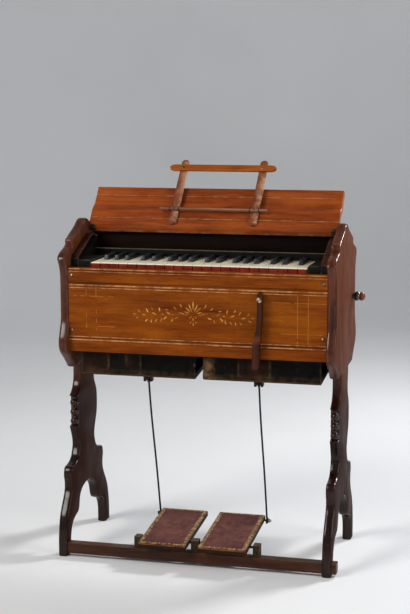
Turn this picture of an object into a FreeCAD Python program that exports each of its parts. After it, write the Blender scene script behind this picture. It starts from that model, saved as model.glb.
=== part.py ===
# A small treadle reed organ: a 39-note keyboard, F to G, in a case between two shaped end
# boards that run down to the floor as legs. Two treadles pull two wedge bellows under the case
# through iron rods, a knee lever hangs in front of the panel, and the open lid carries a folding
# music rack. Millimetres, X right, Y to the back, Z up. Shapes are drawn in case coordinates,
# with X = 0 in the middle of the keyboard, Y = 0 at the front of the feet and Z = 0 on the
# floor, and are then moved so that the origin is the middle of the whole outline on the floor.
import FreeCAD, Part
import math
import os

os.makedirs("parts", exist_ok=True)
V = FreeCAD.Vector
X_AXIS = V(1, 0, 0)
Y_AXIS = V(0, 1, 0)

# Driving dimensions
CENTRE_X = 16.0           # middle of the outline, in case coordinates
CENTRE_Y = 159.78
NATURAL_PITCH = 23.3      # one natural key
NATURAL_COUNT = 23
KEY_COUNT = 39
FIRST_NOTE = 5            # F, counted in semitones from C
INNER_HALF = 320.0        # half the width between the end boards
BOARD = 22.0              # thickness of an end board
OUTER_HALF = INNER_HALF + BOARD

# Outline of the end boards, seen from the side
CHEEK_MID_Y = 186.0
LEG_MID_Y = 167.0
FOOT_DEPTH = 33.0
LEG_DEPTH = 334.0

# Case
PANEL_FRONT = 46.0
PANEL_THICK = 17.0
CASE_BOTTOM = 512.0
PANEL_TOP = 719.0
FLOOR_THICK = 12.0
BACK_FRONT = 310.0
BACK_THICK = 16.0
BACK_TOP = 722.0

# Keyboard
KEY_FRONT = 65.0
KEY_TOP = 731.0
KEY_THICK = 20.0
KEY_REAR = 308.0
KEY_PIVOT_Y = 298.0
KEY_GAP = 0.8
SHARP_FRONT = 122.0
SHARP_REAR = 192.0
SHARP_TOP = 742.5
SHARP_WIDTH = 11.5
SHARP_TOP_WIDTH = 9.4
SHARP_SHIFT = {1: -3.0, 3: 3.0, 6: -3.5, 8: 0.0, 10: 3.5}
NAMEBOARD_FRONT = 195.0
SIDE_BLOCK = 19.0         # thickness of the black block against each end board

# Lid, drawn open
LID_PIVOT = (212.0, 812.0)
LID_HALF = 318.5
LID_PIN_R = 4.0
PIN_PLAY = 0.08

# Music rack, in the plane of the lid's bulging face
RACK_FOOT = (200.0, 812.0)
RACK_SLOPE = math.atan2(32.0, 26.0)
RACK_LENGTH = 195.0
RACK_WIDE = 20.0
RACK_THICK = 7.0
RACK_GAP = 0.4
RACK_LEFT_X = -98.5
RACK_RIGHT_X = 106.5
RACK_LEAN = math.radians(1.55)
LEDGE_S = 40.0            # distances along the uprights
TOP_BAR_S = 166.5
TOP_BAR_X = (-131.0, 145.5)
RACK_PIN_R = 2.0

# Bellows
FEEDER_HINGE = (300.0, 497.0)
FEEDER_TILT = math.radians(6.84)
FEEDER_DEPTH = 252.0
FEEDER_THICK = 12.0
FEEDER_SPANS = {"left": (-290.0, -2.0), "right": (18.0, 306.0)}

# Treadles and rods
PEDAL_PIVOT = (18.0, 56.0)
PEDAL_FRONT = (-26.0, 59.0)
PEDAL_LENGTH = 226.0
PEDAL_THICK = 14.0
PEDAL_TILT = math.radians(5.8)
PEDAL_SPANS = {"left": (-128.0, -10.0), "right": (22.0, 140.0)}
PEDAL_PINS = {"left": (-142.0, 4.0), "right": (8.0, 162.0)}
PEDAL_PIN_R = 3.0
ROD_X = {"left": -133.5, "right": 145.5}
ROD_R = 2.4
ROD_EYE = (193.0, 70.0)
ROD_HANGER = (97.0, 444.0)
EYE_RING_R = 6.5
HANGER_RING_R = 9.0
EYE_PIN_R = 2.2
HANGER_PIN_R = 2.5

# Stretcher with its cleats
STRETCHER_X = (-OUTER_HALF, 354.0)
STRETCHER_Y = (4.0, 30.0)
STRETCHER_Z = (8.5, 34.0)
CLEATS = ((-147.0, -131.0), (-3.0, 15.0), (151.0, 167.0))
CLEAT_Y = (6.0, 30.0)
CLEAT_Z = (34.0, 64.0)

# Knee lever and stop knob
LEVER_PIVOT = (162.0, 658.0)
LEVER_Y = (24.0, 44.0)
LEVER_PIN_R = 3.0
KNOB_Y = 285.0
KNOB_Z = 636.0
KNOB_SHANK_R = 5.0
KNOB_COLLAR = (344.0, 362.0)
KNOB_COLLAR_R = 12.0
KNOB_BALL_R = 11.5
KNOB_END = 374.0

shapes = {}


def box(x, y, z):
    """A box from three (low, high) pairs."""
    return Part.makeBox(x[1] - x[0], y[1] - y[0], z[1] - z[0], V(x[0], y[0], z[0]))


def cylinder_x(radius, x, y, z):
    """A cylinder along X between the two values of x."""
    return Part.makeCylinder(radius, x[1] - x[0], V(x[0], y, z), X_AXIS)


def group(*solids):
    """Separate solids that share one node."""
    flat = []
    for item in solids:
        flat.extend(item.Solids)
    return Part.makeCompound(flat)


def curve(points):
    """A smooth edge through points in the YZ plane."""
    spline = Part.BSplineCurve()
    spline.interpolate([V(0, y, z) for y, z in points])
    return [spline.toShape()]


def lines(points):
    """Straight edges from point to point in the YZ plane."""
    ends = [V(0, y, z) for y, z in points]
    return [Part.LineSegment(a, b).toShape() for a, b in zip(ends, ends[1:])]


def plank(edges, x):
    """A board with an outline in the YZ plane, between the two values of x."""
    face = Part.Face(Part.Wire(Part.__sortEdges__(edges)))
    board = face.extrude(V(x[1] - x[0], 0, 0))
    board.translate(V(x[0], 0, 0))
    return board


def polygon_plank(points, x):
    return plank(lines(points + [points[0]]), x)


def mirrored(points, middle):
    return [(2 * middle - y, z) for y, z in points]


def turned(point, about, angle):
    """A point of the YZ plane turned about another, towards Z from Y."""
    dy = point[0] - about[0]
    dz = point[1] - about[1]
    c = math.cos(angle)
    s = math.sin(angle)
    return (about[0] + c * dy - s * dz, about[1] + s * dy + c * dz)


# End boards

CHEEK_TOP = [(186, 827), (172, 823), (159, 815), (121, 798), (96, 787)]
CHEEK_QUIRK = [(96, 787), (87, 783), (86, 772)]
CHEEK_OVOLO = [(86, 772), (72, 765), (44, 756), (31, 748), (27, 740)]
CHEEK_NECK = [(27, 740), (34, 730), (41, 716), (46, 694)]
CHEEK_FRONT = [(46, 694), (46, 604)]
CHEEK_SCROLL = [(46, 604), (40, 575), (31, 553), (26.5, 537), (30, 517), (48, 499), (70, 481), (87, 464)]
BACK_SCROLL = [(326, 604), (332, 575), (341, 553), (345.5, 537), (341, 519), (322, 502), (302, 485), (288, 472)]
LEG_THROAT = [(129, 469), (128, 450), (126.5, 426), (121, 411), (110, 398), (98, 390), (93, 387)]
BEAD_BAND = [(93, 387), (106, 384), (106, 313), (93, 310)]
LEG_SHIN = [(93, 310), (101, 294), (109, 276), (112, 259), (107, 244), (99, 231), (84, 222), (54, 216)]
LEG_FOOT = [(54, 216), (46, 205), (45, 192), (49, 178), (50, 166), (46, 152), (35, 135), (22, 116),
            (12, 98), (6, 78), (2, 58), (0, 38)]
BACK_THROAT = [(231, 469), (228, 450), (225, 426), (227, 408), (236, 392), (244, 378), (247, 352),
               (246, 328), (241, 310)]
ARCH_FRONT = [(FOOT_DEPTH, 34), (38, 56), (48, 72), (64, 82), (87, 89)]
ARCH_TOP = [(87, 89), (98, 102), (104, 124), (117, 139), (140, 148), (LEG_MID_Y, 151), (194, 147),
            (218, 133), (231, 116), (238, 94), (248, 82)]
ARCH_BACK = [(248, 82), (270, 76), (288, 65), (297, 51), (LEG_DEPTH - FOOT_DEPTH, 34)]
BEAD_R = 10.5
BEAD_Y = 102.5
BEAD_Z = (369.0, 345.0, 321.5)


def end_board_outline():
    edges = curve(CHEEK_SCROLL)
    edges += curve(BACK_SCROLL)
    for run in (CHEEK_TOP, CHEEK_QUIRK, CHEEK_OVOLO, CHEEK_NECK):
        edges += curve(run)
        edges += curve(mirrored(run, CHEEK_MID_Y))
    edges += lines(CHEEK_FRONT)
    edges += lines(mirrored(CHEEK_FRONT, CHEEK_MID_Y))
    edges += lines([CHEEK_SCROLL[-1], LEG_THROAT[0]])
    edges += lines([BACK_SCROLL[-1], BACK_THROAT[0]])
    edges += curve(LEG_THROAT)
    edges += curve(BACK_THROAT)
    edges += lines(BEAD_BAND)
    for run in (ARCH_FRONT, ARCH_TOP, ARCH_BACK):
        edges += curve(run)
    for run in (LEG_SHIN, LEG_FOOT):
        edges += curve(run)
        edges += curve(mirrored(run, LEG_MID_Y))
    foot = [LEG_FOOT[-1], (0, 0), (FOOT_DEPTH, 0), ARCH_FRONT[0]]
    edges += lines(foot)
    edges += lines(mirrored(foot, LEG_MID_Y))
    return edges


def end_board(side):
    x = sorted((side * INNER_HALF, side * OUTER_HALF))
    board = plank(end_board_outline(), x)
    for z in BEAD_Z:
        board = board.fuse(Part.makeSphere(BEAD_R, V(sum(x) / 2, BEAD_Y, z)))
    board = board.cut(box((x[0] - 1, x[1] + 1), STRETCHER_Y, STRETCHER_Z))
    pin_x = sorted((side * (INNER_HALF - 1), side * (INNER_HALF + 11)))
    board = board.cut(cylinder_x(LID_PIN_R + PIN_PLAY, pin_x, *LID_PIVOT))
    if side > 0:
        board = board.cut(cylinder_x(KNOB_SHANK_R + PIN_PLAY, (x[0] - 1, x[1] + 1), KNOB_Y, KNOB_Z))
    return board.removeSplitter()


# Case

PANEL_GROOVES_Z = (712.5, 681.5, 675.0, 669.0, 546.0, 540.5)
GROOVE_WIDE = 1.8
GROOVE_DEEP = 1.2
HINGE_RAIL_Y = (224.0, 233.0)
HINGE_RAIL_Z = (737.0, 790.0)
BACK_RAIL = [(313, 722), (313, 759), (327, 756), (338, 751), (343, 743), (341, 734), (333, 722)]
BUTTON_R = 5.5
BUTTON_PLACES = ((-310.5, 700.0), (-310.5, 565.0), (310.5, 697.0), (310.5, 566.5))


def front_panel():
    panel = box((-INNER_HALF, INNER_HALF), (PANEL_FRONT, PANEL_FRONT + PANEL_THICK),
                (CASE_BOTTOM, PANEL_TOP))
    for z in PANEL_GROOVES_Z:
        groove = box((-INNER_HALF, INNER_HALF), (PANEL_FRONT - 1, PANEL_FRONT + GROOVE_DEEP),
                     (z - GROOVE_WIDE / 2, z + GROOVE_WIDE / 2))
        panel = panel.cut(groove)
    return panel


def case_boards():
    """The floor, the back and its rail, the rail under the lid, the batten for the feeder hinges."""
    wide = (-INNER_HALF, INNER_HALF)
    floor = box(wide, (PANEL_FRONT + PANEL_THICK, BACK_FRONT), (CASE_BOTTOM, CASE_BOTTOM + FLOOR_THICK))
    back = box(wide, (BACK_FRONT, BACK_FRONT + BACK_THICK), (CASE_BOTTOM - 5, BACK_TOP))
    rail = polygon_plank(BACK_RAIL, wide)
    batten = box((-300, 312), (296, BACK_FRONT), (500, CASE_BOTTOM))
    return group(floor, back, rail, batten, box(wide, HINGE_RAIL_Y, HINGE_RAIL_Z))


def keyboard_surround():
    """Nameboard behind the keys, key blocks beside them, side blocks against the end boards."""
    inner = INNER_HALF - SIDE_BLOCK
    solids = [box((-inner, inner), (NAMEBOARD_FRONT, 207), (733.5, 751))]
    profile = [(66, 711), (66, 739), (72, 746), (130, 770), (172, 787), (188, 790), (200, 783),
               (213, 783), (213, 711)]
    key_edge = NATURAL_COUNT * NATURAL_PITCH / 2 + 1.5
    for side in (-1, 1):
        solids.append(polygon_plank(profile, sorted((side * inner, side * INNER_HALF))))
        solids.append(box(sorted((side * key_edge, side * inner)), (KEY_FRONT, 194), (711, 736)))
    return group(*solids)


def action_and_reeds():
    """Key frame rails, the reed pan with a pallet under each key, and the reservoir below."""
    solids = [
        box((-268, 268), (70, 100), (690, 700)),
        box((-268, 268), (290, KEY_REAR), (690, 710.4)),
        box((-292, 292), (70, KEY_REAR), (676, 690)),
        box((-290, 290), (75, 305), (596, 608)),
        box((-290, 290), (75, 305), (530, 540)),
    ]
    for low, high in ((-292, -282), (282, 292)):
        solids.append(box((low, high), (70, KEY_REAR), (608, 676)))
    solids.append(box((-282, 282), (70, 80), (608, 676)))
    solids.append(box((-282, 282), (298, KEY_REAR), (608, 676)))
    for index in range(KEY_COUNT):
        x = key_centre(index)
        solids.append(box((x - 3.5, x + 3.5), (130, 200), (670, 676)))
    reservoir = box((-286, 286), (79, 301), (540, 596))
    hollow = box((-283, 283), (82, 298), (540, 596))
    solids.append(reservoir.cut(hollow))
    return group(*solids)


# Keys

def is_sharp(index):
    return (FIRST_NOTE + index) % 12 in SHARP_SHIFT


def naturals_before(index):
    return sum(1 for i in range(index) if not is_sharp(i))


def left_edge(index):
    """Left edge of a natural, or the joint between naturals where a sharp stands."""
    return (naturals_before(index) - NATURAL_COUNT / 2) * NATURAL_PITCH


def key_centre(index):
    if is_sharp(index):
        return left_edge(index) + SHARP_SHIFT[(FIRST_NOTE + index) % 12]
    return left_edge(index) + NATURAL_PITCH / 2


def sharp_notch(neighbour):
    """The range of X that a neighbouring sharp takes out of a natural."""
    x = key_centre(neighbour)
    half = SHARP_WIDTH / 2 + KEY_GAP
    return (x - half, x + half)


def natural_key(index):
    x = (left_edge(index) + KEY_GAP / 2, left_edge(index) + NATURAL_PITCH - KEY_GAP / 2)
    key = box(x, (KEY_FRONT, KEY_REAR), (KEY_TOP - KEY_THICK, KEY_TOP))
    for neighbour in (index - 1, index + 1):
        if 0 <= neighbour < KEY_COUNT and is_sharp(neighbour):
            notch = box(sharp_notch(neighbour), (SHARP_FRONT - 1, KEY_REAR + 1),
                        (KEY_TOP - KEY_THICK - 1, KEY_TOP + 1))
            key = key.cut(notch)
    return key


def rectangle(x, half, front, rear, z):
    corners = [V(x - half, front, z), V(x + half, front, z), V(x + half, rear, z), V(x - half, rear, z)]
    return Part.makePolygon(corners + [corners[0]])


def sharp_key(index):
    x = key_centre(index)
    half = SHARP_WIDTH / 2
    lever = box((x - half, x + half), (SHARP_FRONT, KEY_REAR), (KEY_TOP - KEY_THICK, KEY_TOP - 1.5))
    foot = rectangle(x, half, SHARP_FRONT, SHARP_REAR, KEY_TOP - 1.5)
    crown = rectangle(x, SHARP_TOP_WIDTH / 2, SHARP_FRONT + 5, SHARP_REAR, SHARP_TOP)
    raised = Part.makeLoft([foot, crown], True, True)
    return lever.fuse(raised)


def key_name(index):
    letters = ("c", "c_sharp", "d", "d_sharp", "e", "f", "f_sharp", "g", "g_sharp", "a", "a_sharp", "b")
    return "key_%02d_%s" % (index + 1, letters[(FIRST_NOTE + index) % 12])


# Lid and music rack

LID_FACE_LOW = [(207, 792), (201.5, 801), (200, 812)]
LID_FACE_STEP = [(226, 844), (237, 852), (247, 857)]
LID_FACE_TOP = (280, 898)
LID_BACK = [(291.5, 892), (294, 887), (262, 847), (250, 843), (238, 836), (222, 812), (219, 794)]


def rack_point(s, out):
    """A place in the rack's plane: s along the uprights, out towards the player."""
    c = math.cos(RACK_SLOPE)
    k = math.sin(RACK_SLOPE)
    return (RACK_FOOT[0] + c * s - k * out, RACK_FOOT[1] + k * s + c * out)


def in_rack_plane(shape):
    """Moves a shape drawn with Z as the way out of the plane and Y as the way up it."""
    shape.rotate(V(0, 0, 0), X_AXIS, math.degrees(RACK_SLOPE))
    shape.translate(V(0, *RACK_FOOT))
    return shape


def rounded_bar(x, y, z):
    """A flat bar whose two ends along its longer side are half round."""
    wide = x[1] - x[0]
    high = y[1] - y[0]
    radius = min(wide, high) / 2
    thick = z[1] - z[0]
    if wide > high:
        ends = [(x[0] + radius, y[0] + radius), (x[1] - radius, y[0] + radius)]
        middle = box((x[0] + radius, x[1] - radius), y, z)
    else:
        ends = [(x[0] + radius, y[0] + radius), (x[0] + radius, y[1] - radius)]
        middle = box(x, (y[0] + radius, y[1] - radius), z)
    for cx, cy in ends:
        middle = middle.fuse(Part.makeCylinder(radius, thick, V(cx, cy, z[0])))
    return middle.removeSplitter()


UPRIGHT_OUT = (RACK_GAP, RACK_GAP + RACK_THICK)
BAR_OUT = (UPRIGHT_OUT[1] + RACK_GAP, UPRIGHT_OUT[1] + RACK_GAP + RACK_THICK)


def lid():
    """The moulded lid with its pivot pins, the fixed rack ledge and the ledge's two pins."""
    edges = curve(LID_FACE_LOW)
    edges += lines([LID_FACE_LOW[-1], LID_FACE_STEP[0]])
    edges += curve(LID_FACE_STEP)
    edges += lines([LID_FACE_STEP[-1], LID_FACE_TOP] + LID_BACK + [LID_FACE_LOW[0]])
    solids = [plank(edges, (-LID_HALF, LID_HALF))]
    for x in ((-INNER_HALF - 9, -LID_HALF), (LID_HALF, INNER_HALF + 9)):
        solids.append(cylinder_x(LID_PIN_R, x, *LID_PIVOT))
    ledge = rounded_bar((-136, 139.5), (LEDGE_S - 3, LEDGE_S + 3), (BAR_OUT[0], BAR_OUT[0] + 9))
    solids.append(in_rack_plane(ledge))
    for x in (RACK_LEFT_X, RACK_RIGHT_X):
        pin = Part.makeCylinder(RACK_PIN_R, BAR_OUT[0], V(x, LEDGE_S, 0))
        solids.append(in_rack_plane(pin))
    return group(*solids)


def rack_upright(x):
    """An upright, leaning a little to the right about its lower pin."""
    half = RACK_WIDE / 2
    bar = rounded_bar((x - half, x + half), (0, RACK_LENGTH), UPRIGHT_OUT)
    for s in (LEDGE_S, TOP_BAR_S):
        bar = bar.cut(Part.makeCylinder(RACK_PIN_R + PIN_PLAY, 20, V(x, s, -5)))
    bar.rotate(V(x, LEDGE_S, 0), V(0, 0, 1), -math.degrees(RACK_LEAN))
    return in_rack_plane(bar)


def rack_top_bar():
    reach = TOP_BAR_S - LEDGE_S
    middle = LEDGE_S + reach * math.cos(RACK_LEAN)
    bar = rounded_bar(TOP_BAR_X, (middle - 9, middle + 9), BAR_OUT)
    solids = [in_rack_plane(bar)]
    for x in (RACK_LEFT_X, RACK_RIGHT_X):
        foot = V(x + reach * math.sin(RACK_LEAN), middle, UPRIGHT_OUT[0])
        solids.append(in_rack_plane(Part.makeCylinder(RACK_PIN_R, BAR_OUT[0] - UPRIGHT_OUT[0], foot)))
    return group(*solids)


# Bellows

def tilt_feeder(shape):
    shape.rotate(V(0, *FEEDER_HINGE), X_AXIS, math.degrees(FEEDER_TILT))
    return shape


def feeder(side):
    """The moving board of one wedge bellows, with the bracket that its rod hangs from."""
    x = FEEDER_SPANS[side]
    y, z = FEEDER_HINGE
    board = tilt_feeder(box(x, (y - FEEDER_DEPTH, y), (z - FEEDER_THICK, z)))
    hy, hz = turned(ROD_HANGER, FEEDER_HINGE, -FEEDER_TILT)
    rod = ROD_X[side]
    bracket = box((rod - 11, rod + 11), (hy - 8, hy + 8), (hz - 8, z - FEEDER_THICK))
    slot = box((rod - 5.5, rod + 5.5), (hy - 9, hy + 9), (hz - 9, z - FEEDER_THICK - 2))
    pin = cylinder_x(HANGER_PIN_R, (rod - 8, rod + 8), hy, hz)
    bracket = bracket.cut(slot).fuse(pin)
    return group(board, tilt_feeder(bracket))


def feeder_cloths():
    """The leather gussets: a wedge over each moving board, folded in at the front."""
    y, z = FEEDER_HINGE
    clear = 0.4
    front_low = turned((y - FEEDER_DEPTH + 3, z + clear), FEEDER_HINGE, FEEDER_TILT)
    rear_low = turned((y - 6, z + clear), FEEDER_HINGE, FEEDER_TILT)
    fold = (front_low[0] + 12, (front_low[1] + CASE_BOTTOM) / 2)
    top = CASE_BOTTOM - clear
    profile = [front_low, fold, (front_low[0], top), (rear_low[0], top), rear_low]
    solids = []
    for low, high in FEEDER_SPANS.values():
        solids.append(polygon_plank(profile, (low + 3, high - 3)))
    return group(*solids)


# Treadles and rods

def pedal(side):
    """A treadle board with its pivot pins and the headed pin that the rod's eye goes round."""
    low, high = PEDAL_SPANS[side]
    board = box((low, high), (0, PEDAL_LENGTH), (-PEDAL_THICK, 0))
    board.rotate(V(0, 0, 0), X_AXIS, math.degrees(PEDAL_TILT))
    board.translate(V(0, *PEDAL_FRONT))
    solids = [board]
    pins = PEDAL_PINS[side]
    for x in ((pins[0], low), (high, pins[1])):
        solids.append(cylinder_x(PEDAL_PIN_R, x, *PEDAL_PIVOT))
    out = -1 if side == "left" else 1
    edge = low if side == "left" else high
    shank = cylinder_x(EYE_PIN_R, sorted((edge, edge + out * 10)), *ROD_EYE)
    head = cylinder_x(5.0, sorted((edge + out * 10, edge + out * 12.5)), *ROD_EYE)
    solids.append(shank.fuse(head))
    return group(*solids)


def pump_rod(side):
    """An iron rod with an eye at each end."""
    x = ROD_X[side]
    low = V(x, *ROD_EYE)
    high = V(x, *ROD_HANGER)
    way = (high - low).normalize()
    start = low + way * EYE_RING_R
    length = (high - low).Length - EYE_RING_R - HANGER_RING_R
    rod = Part.makeCylinder(ROD_R, length, start, way)
    rod = rod.fuse(Part.makeTorus(EYE_RING_R, ROD_R, low, X_AXIS))
    return rod.fuse(Part.makeTorus(HANGER_RING_R, ROD_R, high, X_AXIS))


def pedal_rail():
    """The stretcher, tenoned through both feet, and the three cleats that hold the treadles."""
    solids = [box(STRETCHER_X, STRETCHER_Y, STRETCHER_Z)]
    for x in CLEATS:
        cleat = box(x, CLEAT_Y, CLEAT_Z)
        for side in ("left", "right"):
            low, high = PEDAL_SPANS[side]
            pins = PEDAL_PINS[side]
            for bore in ((pins[0] - 1, low), (high, pins[1] + 1)):
                cleat = cleat.cut(cylinder_x(PEDAL_PIN_R + PIN_PLAY, bore, *PEDAL_PIVOT))
        solids.append(cleat)
    return group(*solids)


# Knee lever, stop knob and fasteners

LEVER_SIDES = [(160.5, 493), (161.2, 520), (161.8, 550), (163.5, 570), (166, 590), (167.5, 620), (168.6, 650),
               (168, 668), (162, 677), (156, 668), (155.5, 650), (155, 630), (154, 600), (152, 582),
               (147.5, 567), (144.4, 553), (143.4, 530), (142.5, 493)]
LEVER_END = [(142.5, 493), (146, 489.5), (156.5, 489.5), (160.5, 493)]


def knee_swell_lever():
    spline = Part.BSplineCurve()
    spline.interpolate([V(x, LEVER_Y[0], z) for x, z in LEVER_SIDES])
    ends = [V(x, LEVER_Y[0], z) for x, z in LEVER_END]
    edges = [spline.toShape()] + [Part.LineSegment(a, b).toShape() for a, b in zip(ends, ends[1:])]
    face = Part.Face(Part.Wire(Part.__sortEdges__(edges)))
    lever = face.extrude(V(0, LEVER_Y[1] - LEVER_Y[0], 0))
    bore = Part.makeCylinder(LEVER_PIN_R + PIN_PLAY, 40, V(LEVER_PIVOT[0], 10, LEVER_PIVOT[1]), Y_AXIS)
    return lever.cut(bore)


def stop_knob():
    """A draw stop: a shank through the right end board, a collar and a ball."""
    shank = cylinder_x(KNOB_SHANK_R, (300, OUTER_HALF + 12), KNOB_Y, KNOB_Z)
    collar = cylinder_x(KNOB_COLLAR_R, KNOB_COLLAR, KNOB_Y, KNOB_Z)
    ball = Part.makeSphere(KNOB_BALL_R, V(KNOB_END - KNOB_BALL_R, KNOB_Y, KNOB_Z))
    return shank.fuse(collar).fuse(ball)


def button(x, z):
    """A domed screw head on the front panel."""
    head = Part.makeCylinder(BUTTON_R, 4.0, V(x, PANEL_FRONT - 4.0, z), Y_AXIS)
    return head.common(Part.makeSphere(8.0, V(x, PANEL_FRONT + 4.0, z)))


def case_fasteners():
    x, z = LEVER_PIVOT
    shank = Part.makeCylinder(LEVER_PIN_R, PANEL_FRONT - LEVER_Y[0] + 0.5, V(x, LEVER_Y[0] - 0.5, z), Y_AXIS)
    head = Part.makeCylinder(6.5, 3.0, V(x, LEVER_Y[0] - 3.5, z), Y_AXIS)
    return group(shank.fuse(head), *[button(bx, bz) for bx, bz in BUTTON_PLACES])


def build():
    shapes["left_end_board"] = end_board(-1)
    shapes["right_end_board"] = end_board(1)
    shapes["front_panel"] = front_panel()
    shapes["case_boards"] = case_boards()
    shapes["keyboard_surround"] = keyboard_surround()
    shapes["action_and_reeds"] = action_and_reeds()
    shapes["pedal_rail"] = pedal_rail()
    shapes["lid"] = lid()
    shapes["rack_upright_left"] = rack_upright(RACK_LEFT_X)
    shapes["rack_upright_right"] = rack_upright(RACK_RIGHT_X)
    shapes["rack_top_bar"] = rack_top_bar()
    shapes["knee_swell_lever"] = knee_swell_lever()
    shapes["stop_knob"] = stop_knob()
    shapes["feeder_cloths"] = feeder_cloths()
    shapes["case_fasteners"] = case_fasteners()
    for side in ("left", "right"):
        shapes["pedal_" + side] = pedal(side)
        shapes["pump_rod_" + side] = pump_rod(side)
        shapes["feeder_" + side] = feeder(side)
    for index in range(KEY_COUNT):
        shapes[key_name(index)] = sharp_key(index) if is_sharp(index) else natural_key(index)


def export():
    whole = FreeCAD.BoundBox()
    for name, shape in shapes.items():
        shape.translate(V(-CENTRE_X, -CENTRE_Y, 0))
        whole.add(shape.optimalBoundingBox(False, False))
        valid = shape.isValid() and all(solid.isClosed() for solid in shape.Solids)
        print(name, len(shape.Solids), "solids", round(shape.Volume / 1000, 1), "cm3", "ok" if valid else "BAD")
        shape.exportStep("parts/" + name + ".step")
    print("outline", [round(v, 2) for v in (whole.XMin, whole.XMax, whole.YMin, whole.YMax, whole.ZMin, whole.ZMax)])
    print(len(shapes), "nodes")


build()
export()
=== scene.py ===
# The looks of a small treadle reed organ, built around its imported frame. Metres, X right,
# Y to the back, Z up. Case coordinates, in millimetres, have X = 0 in the middle of the
# keyboard, Y = 0 at the front of the feet and Z = 0 on the floor.
import random
from math import atan2, copysign, cos, exp, pi, radians, sin, sqrt

import bmesh
import bpy
from mathutils import Matrix, Vector, noise


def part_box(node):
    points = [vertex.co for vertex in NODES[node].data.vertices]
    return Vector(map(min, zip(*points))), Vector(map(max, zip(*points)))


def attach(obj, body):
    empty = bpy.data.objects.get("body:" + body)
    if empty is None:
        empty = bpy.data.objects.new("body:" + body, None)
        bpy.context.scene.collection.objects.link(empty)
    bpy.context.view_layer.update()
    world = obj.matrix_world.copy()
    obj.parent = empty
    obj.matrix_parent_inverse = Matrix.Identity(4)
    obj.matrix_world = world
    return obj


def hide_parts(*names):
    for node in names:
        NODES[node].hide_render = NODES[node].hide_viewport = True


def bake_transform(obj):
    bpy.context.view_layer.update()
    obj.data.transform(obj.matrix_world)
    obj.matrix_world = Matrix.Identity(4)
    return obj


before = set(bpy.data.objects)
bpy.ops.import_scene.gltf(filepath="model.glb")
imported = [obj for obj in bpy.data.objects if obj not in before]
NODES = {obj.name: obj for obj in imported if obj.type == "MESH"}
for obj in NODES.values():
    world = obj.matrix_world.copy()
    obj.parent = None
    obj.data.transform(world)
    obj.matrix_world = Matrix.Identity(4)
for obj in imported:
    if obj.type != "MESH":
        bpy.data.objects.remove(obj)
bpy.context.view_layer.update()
MM = 0.001

# Case coordinates are found from the front panel, whose front is 46 mm behind the feet
PANEL_LOW, PANEL_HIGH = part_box("front_panel")
PANEL_FRONT = 46.0
CASE = Vector(((PANEL_LOW.x + PANEL_HIGH.x) / 2, PANEL_LOW.y - PANEL_FRONT * MM, 0))

# Camera, solved from the case's corners in the photograph
PHOTO_SIZE = (410, 614)
CAMERA_PLACE = (900.65, -3297.4, 1179.6)
CAMERA_YAW = 0.2563
CAMERA_PITCH = -0.1567
CAMERA_ROLL = -0.004
FOCAL_PIXELS = 1464.93
SENSOR = 36.0

SHARP_EDGE = radians(32)    # shaded with a crisp line
SOFT_EDGE = radians(28)     # rounded by a bevel


def at(x, y, z):
    """A place in case coordinates, in millimetres, as a place in the row frame, in metres."""
    return CASE + Vector((x, y, z)) * MM


def srgb(red, green, blue):
    """A colour from its values out of 255, as the shader needs it."""
    def linear(value):
        value /= 255
        return value / 12.92 if value <= 0.04045 else ((value + 0.055) / 1.055) ** 2.4
    return (linear(red), linear(green), linear(blue), 1.0)


# Materials

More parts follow.
